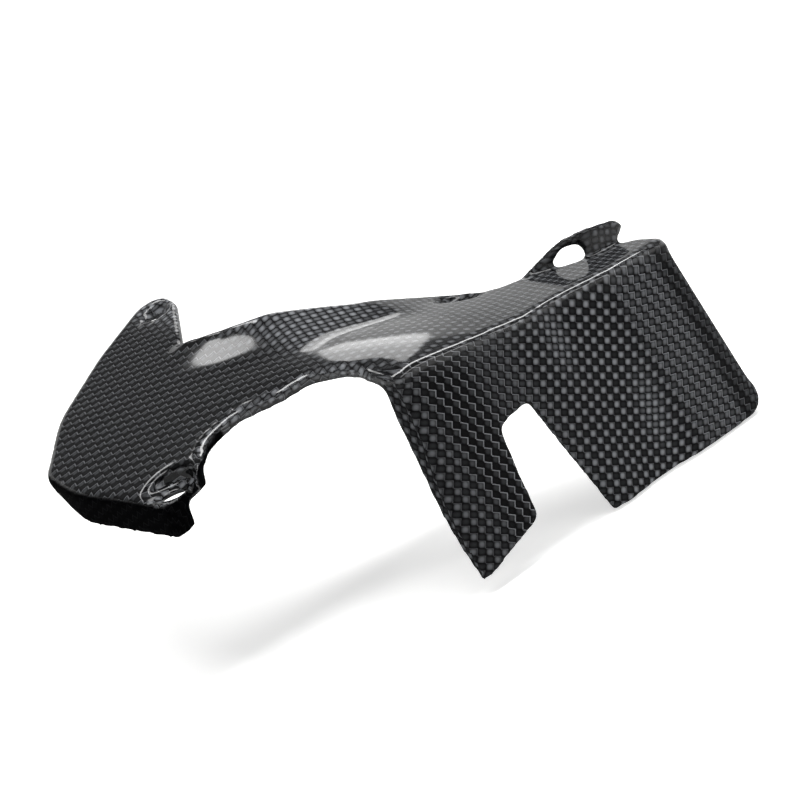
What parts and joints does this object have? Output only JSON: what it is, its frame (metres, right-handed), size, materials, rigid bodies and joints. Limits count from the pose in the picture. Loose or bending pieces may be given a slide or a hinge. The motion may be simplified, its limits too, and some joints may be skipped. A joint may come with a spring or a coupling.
{
  "type": "motorcycle sprocket cover",
  "caption": "Moulded carbon-fibre sprocket cover: a stepped plate with bolt seats and a winged tab, folded down into a creased front wall with a notch and flap.",
  "frame": {"origin": "axis of the platform's bolt hole, at the floor of its seat", "axes": "+Z out of the bolt holes, away from the engine; +X along the fold between platform and wall, to the right seen from the wall; +Y away from the wall"},
  "size_m": [0.1721, 0.1411, 0.0828],
  "materials": {
    "carbon": "glossy clear coat over plain-weave carbon fibre"
  },
  "bodies": {
    "root": {"sprocket_cover": "carbon"}
  },
  "joints": []
}
